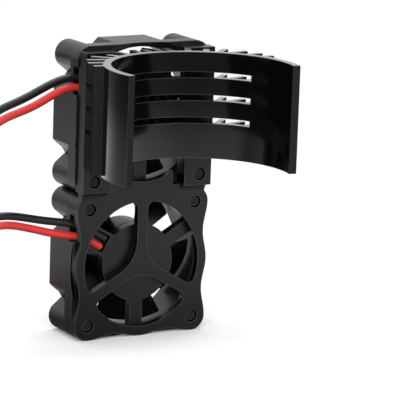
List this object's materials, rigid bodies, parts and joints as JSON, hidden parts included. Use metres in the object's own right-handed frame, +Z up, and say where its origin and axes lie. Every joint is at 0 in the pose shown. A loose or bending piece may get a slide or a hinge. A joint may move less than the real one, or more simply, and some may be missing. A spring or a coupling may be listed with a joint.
{
  "type": "twin-fan motor heat sink",
  "caption": "Motor cooling cradle: a finned open collar that clips round a motor can, with small axial fans stacked behind it, a spoked guard and two-wire leads.",
  "frame": {"origin": "centre of the lower fan's bottom face, where the unit stands", "axes": "+Z up, -Y towards the open side of the cradle and the guard, +X to the right seen from that side"},
  "size_m": [0.073, 0.0674, 0.06],
  "materials": {
    "sink_black": "satin",
    "fan_black": "satin",
    "rotor_black": "gloss",
    "steel": "brushed",
    "bearing_brass": "satin",
    "magnet_grey": "matte",
    "winding_copper": "gloss",
    "board_green": "satin",
    "screw_black": "satin",
    "lead_red": "satin",
    "lead_black": "satin",
    "plug_red": "gloss",
    "contact_tin": "satin"
  },
  "bodies": {
    "body": {"heat_sink_body": "sink_black", "upper_fan_frame": "fan_black", "upper_front_bearing": "bearing_brass", "upper_rear_bearing": "bearing_brass", "upper_circuit_board": "board_green", "upper_stator_core": "steel", "upper_coil_1": "winding_copper", "upper_coil_2": "winding_copper", "upper_coil_3": "winding_copper", "upper_coil_4": "winding_copper", "upper_screw_bottom_left": "screw_black", "upper_screw_bottom_right": "screw_black", "upper_screw_top_left": "screw_black", "upper_screw_top_right": "screw_black", "upper_lead_red": "lead_red", "upper_lead_black": "lead_black", "upper_lead_plug": "plug_red", "upper_contact_left": "contact_tin", "upper_contact_right": "contact_tin", "lower_fan_frame": "fan_black", "lower_front_bearing": "bearing_brass", "lower_rear_bearing": "bearing_brass", "lower_circuit_board": "board_green", "lower_stator_core": "steel", "lower_coil_1": "winding_copper", "lower_coil_2": "winding_copper", "lower_coil_3": "winding_copper", "lower_coil_4": "winding_copper", "lower_screw_bottom_left": "screw_black", "lower_screw_bottom_right": "screw_black", "lower_screw_top_left": "screw_black", "lower_screw_top_right": "screw_black", "lower_lead_red": "lead_red", "lower_lead_black": "lead_black", "lower_lead_plug": "plug_red", "lower_contact_left": "contact_tin", "lower_contact_right": "contact_tin"},
    "upper_rotor_body": {"upper_rotor": "rotor_black", "upper_rotor_shaft": "steel", "upper_magnet_ring": "magnet_grey"},
    "lower_rotor_body": {"lower_rotor": "rotor_black", "lower_rotor_shaft": "steel", "lower_magnet_ring": "magnet_grey"}
  },
  "joints": [
    {"name": "upper_rotor_spin", "type": "hinge", "parent": "body", "child": "upper_rotor_body", "pos_m": [0, 0, 0.04498], "axis": [0, 1, 0], "continuous": true},
    {"name": "lower_rotor_spin", "type": "hinge", "parent": "body", "child": "lower_rotor_body", "pos_m": [0, 0, 0.01498], "axis": [0, 1, 0], "continuous": true}
  ]
}
